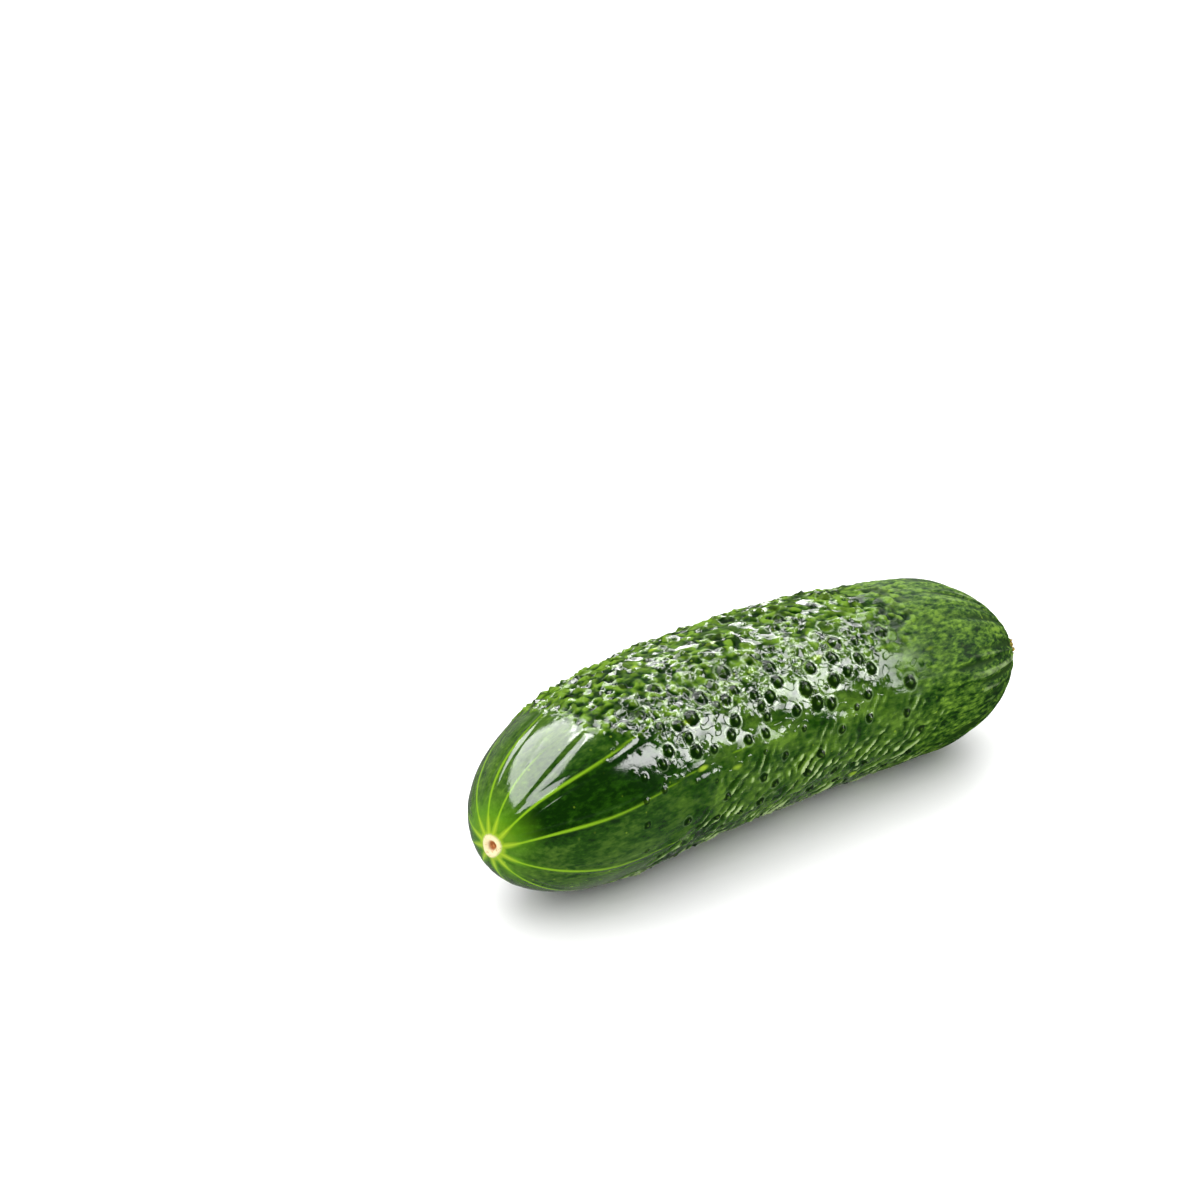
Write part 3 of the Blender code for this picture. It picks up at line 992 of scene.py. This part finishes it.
def heading(degrees, height):
    # unit vector at this compass angle from the camera's heading and this height
    angle = math.radians(shot["turn"] + degrees)
    rise = math.radians(height)
    return Vector((math.sin(angle) * math.cos(rise), math.cos(angle) * math.cos(rise), math.sin(rise)))


def makeCamera():
    down = math.radians(shot["elevation"])
    forward = heading(0.0, -shot["elevation"])
    right = Vector((math.cos(math.radians(shot["turn"])), -math.sin(math.radians(shot["turn"])), 0.0))
    up = right.cross(forward)
    towardsFruit = forward + shot["aimRight"] * right + shot["aimUp"] * up
    data = bpy.data.cameras.new("camera")
    data.lens = shot["lens"]
    data.sensor_width = shot["sensor"]
    data.clip_start = shot["nearest"]
    camera = bpy.data.objects.new("camera", data)
    camera.location = Vector(shot["aim"]) - shot["distance"] * towardsFruit
    camera.rotation_euler = (math.pi / 2 - down, 0.0, -math.radians(shot["turn"]))
    bpy.context.scene.collection.objects.link(camera)
    bpy.context.scene.camera = camera
    return camera


def makeSoftBox(name, box):
    light = bpy.data.lights.new(name, "AREA")
    light.shape = "RECTANGLE"
    light.size, light.size_y = box["size"]
    light.energy = box["brightness"] * math.pi * box["size"][0] * box["size"][1]
    place = heading(box["heading"], box["height"]) * box["distance"]
    lamp = bpy.data.objects.new(name, light)
    lamp.location = place
    facing = place.to_track_quat("Z", "Y") @ Quaternion((0, 0, 1), math.radians(box["turn"]))
    lamp.rotation_euler = facing.to_euler()
    lamp.visible_camera = False
    lamp.visible_diffuse = False       # the room gives the soft light, the panel only its reflection
    bpy.context.scene.collection.objects.link(lamp)
    return lamp


def makeFloor():
    # a disc: one flat face whose corners stand evenly on a circle
    sides = studio["floorSides"]
    angle = np.linspace(0.0, 2.0 * math.pi, sides, endpoint=False)
    rim = np.stack([np.cos(angle), np.sin(angle), np.zeros(sides)], axis=-1) * studio["floorRadius"]
    mesh = bpy.data.meshes.new("floor")
    mesh.from_pydata(rim, [], [list(range(sides))])
    floor = bpy.data.objects.new("floor", mesh)
    board = Board(bpy.data.materials.new("floor_white"))
    white = studio["floorWhite"]
    shaded = white * studio["floorMottle"]
    grain = board.noise(board.node("ShaderNodeTexCoord", output="Object"), studio["floorGrain"])
    tint = board.mix(grain, (white, white, white, 1), (shaded, shaded, shaded, 1))
    board.plug(board.shader.inputs["Base Color"], tint)
    board.shader.inputs["Roughness"].default_value = studio["floorRoughness"]
    board.shader.inputs["Specular IOR Level"].default_value = studio["floorSpecular"]
    mesh.materials.append(board.owner)
    floor.visible_glossy = False       # the room gives the gloss its own, dimmer floor
    bpy.context.scene.collection.objects.link(floor)
    return floor


def makeRoom():
    # a pale backdrop low behind the fruit, fading into a dim room above it and behind the camera
    board = Board(bpy.data.worlds.new("studio"))
    bpy.context.scene.world = board.owner
    background = board.tree.nodes["Background"]
    background.inputs["Color"].default_value = (1, 1, 1, 1)
    direction = board.node("ShaderNodeTexCoord", output="Generated")
    toBack = board.towards(direction, heading(0.0, 0.0))
    height = board.part(direction, 2)
    behind = board.between(toBack, -0.2, 0.35)
    low = 1.0 - board.between(height, *studio["backdropSoft"])
    strength = studio["gloom"] + (studio["backdrop"] - studio["gloom"]) * (behind * low)
    under = 1.0 - board.between(height, -0.06, 0.02)
    strength = strength * (1.0 - under) + studio["below"] * under
    overhead = softBoxes["overhead"]
    toPanel = board.towards(direction, heading(overhead["heading"], overhead["height"]))
    strength = strength + studio["glow"] * board.between(toPanel, *studio["glowReach"])
    soft = studio["dome"] * (1.0 + studio["domeTilt"] * toPanel)
    seen = board.node("ShaderNodeLightPath", output="Is Camera Ray")
    lighting = board.node("ShaderNodeLightPath", output="Is Diffuse Ray")
    strength = lighting * soft + (1.0 - lighting) * strength
    strength = seen + (1.0 - seen) * strength      # the room itself looks plain white
    board.plug(background.inputs["Strength"], strength)


makeCamera()
for name, box in softBoxes.items():
    makeSoftBox("softbox_" + name, box)
makeFloor()
makeRoom()
bpy.context.scene.view_settings.view_transform = "Standard"
print("studio ready")
